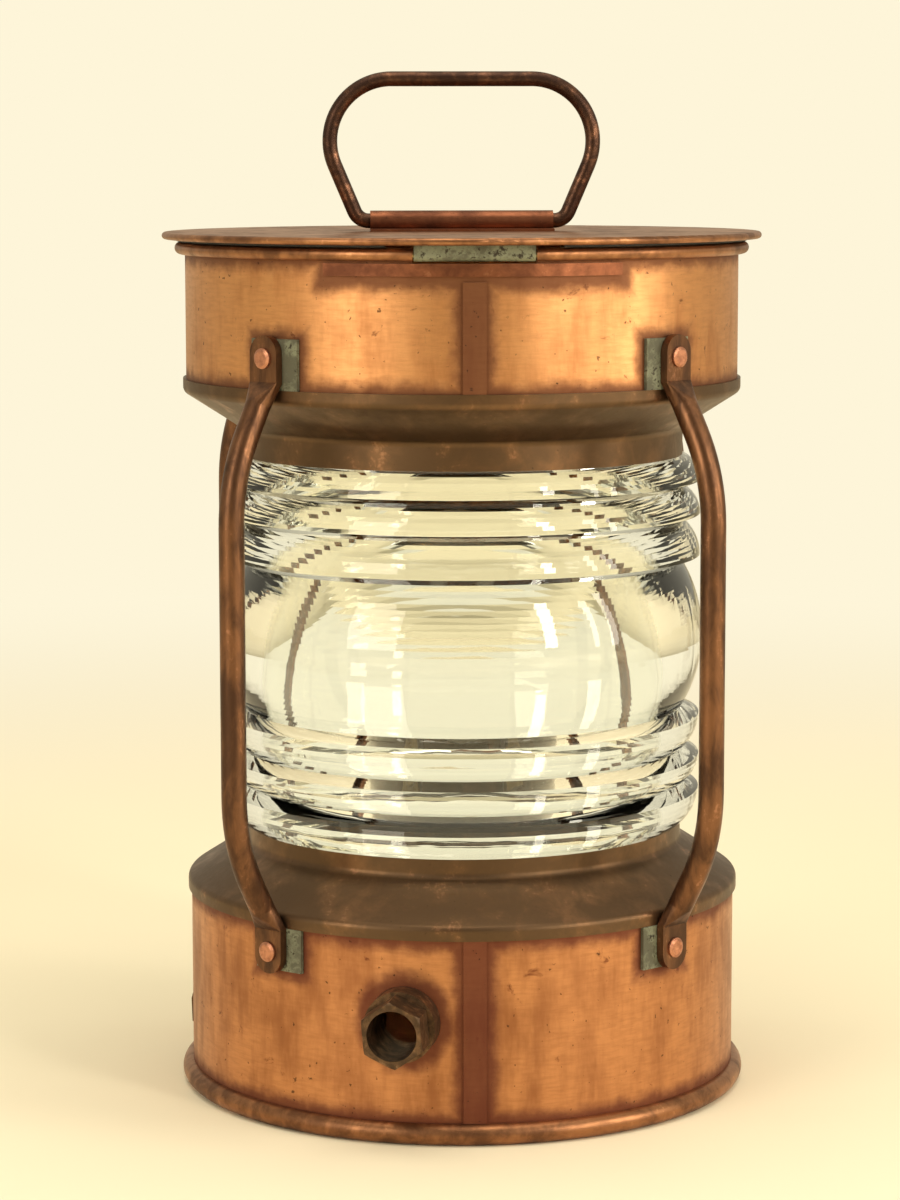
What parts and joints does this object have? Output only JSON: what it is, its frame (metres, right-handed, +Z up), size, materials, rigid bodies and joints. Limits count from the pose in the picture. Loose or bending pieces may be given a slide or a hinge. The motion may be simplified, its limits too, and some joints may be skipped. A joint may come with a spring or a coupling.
{
  "type": "anchor light",
  "caption": "Round copper anchor light: ribbed glass lens between a base and a top drum, bowed guard rods, hinged lid with a folding wire handle, cable gland.",
  "frame": {"origin": "on the lamp's own axis, on the plane that the base stands on", "axes": "+Z up along the lamp's axis; -Y towards the pictured front, where the seams, the lid's hinge and the cable gland are; +X to the viewer's right"},
  "size_m": [0.2338, 0.2589, 0.3977],
  "materials": {
    "copper": "aged, brown to orange oxide",
    "copper_dark": "dark brown patina",
    "copper_brown": "handled dark brown with bright wear",
    "copper_tinned": "worn soft solder over copper",
    "brass": "dull, tarnished",
    "lens_glass": "clear pressed glass with a faint yellow-green tint",
    "seal": "matte black",
    "porcelain": "glazed off-white"
  },
  "bodies": {
    "lamp": {"base_plate": "copper_dark", "base_shell": "copper", "base_bead": "copper", "base_seam_strip": "copper_tinned", "base_shoulder": "copper_dark", "lower_lens_seat": "copper_dark", "lower_lens_gasket": "seal", "lens": "lens_glass", "upper_lens_gasket": "seal", "upper_lens_seat": "copper_dark", "upper_shoulder": "copper_dark", "upper_shell": "copper", "upper_bead": "copper", "upper_seam_strip": "copper_tinned", "hinge_strap": "copper_brown", "hinge_pin": "brass", "guard_front_left": "copper_brown", "guard_front_right": "copper_brown", "guard_rear_left": "copper_brown", "guard_rear_right": "copper_brown", "upper_guard_pads": "copper_tinned", "lower_guard_pads": "copper_tinned", "upper_guard_rivets": "copper", "lower_guard_rivets": "copper", "gland_boss": "brass", "gland_body": "brass", "air_hood_left": "copper_dark", "air_hood_right": "copper_dark", "catch_lug": "copper_brown", "catch_lug_rivets": "copper", "lamp_bracket": "brass", "bracket_screws": "brass", "lampholder_foot": "porcelain", "lampholder_cup": "porcelain", "lamp_screw_shell": "brass", "centre_contact": "brass", "terminal_screws": "brass", "lampholder_screws": "brass"},
    "lid": {"lid_plate": "copper", "lid_spigot": "copper_dark", "lid_seal": "seal", "hinge_knuckle": "copper_tinned", "handle_sleeve": "copper_brown", "lid_lug": "copper_brown", "lid_lug_rivets": "copper"},
    "handle": {"handle": "copper_brown"}
  },
  "joints": [
    {"name": "lid_hinge", "type": "hinge", "parent": "lamp", "child": "lid", "pos_m": [0, -0.10732, 0.32985], "axis": [1, 0, 0], "range_deg": [0, 98]},
    {"name": "handle_pivot", "type": "hinge", "parent": "lid", "child": "handle", "pos_m": [0, 0, 0.34003], "axis": [1, 0, 0], "range_deg": [-90, 90]}
  ]
}
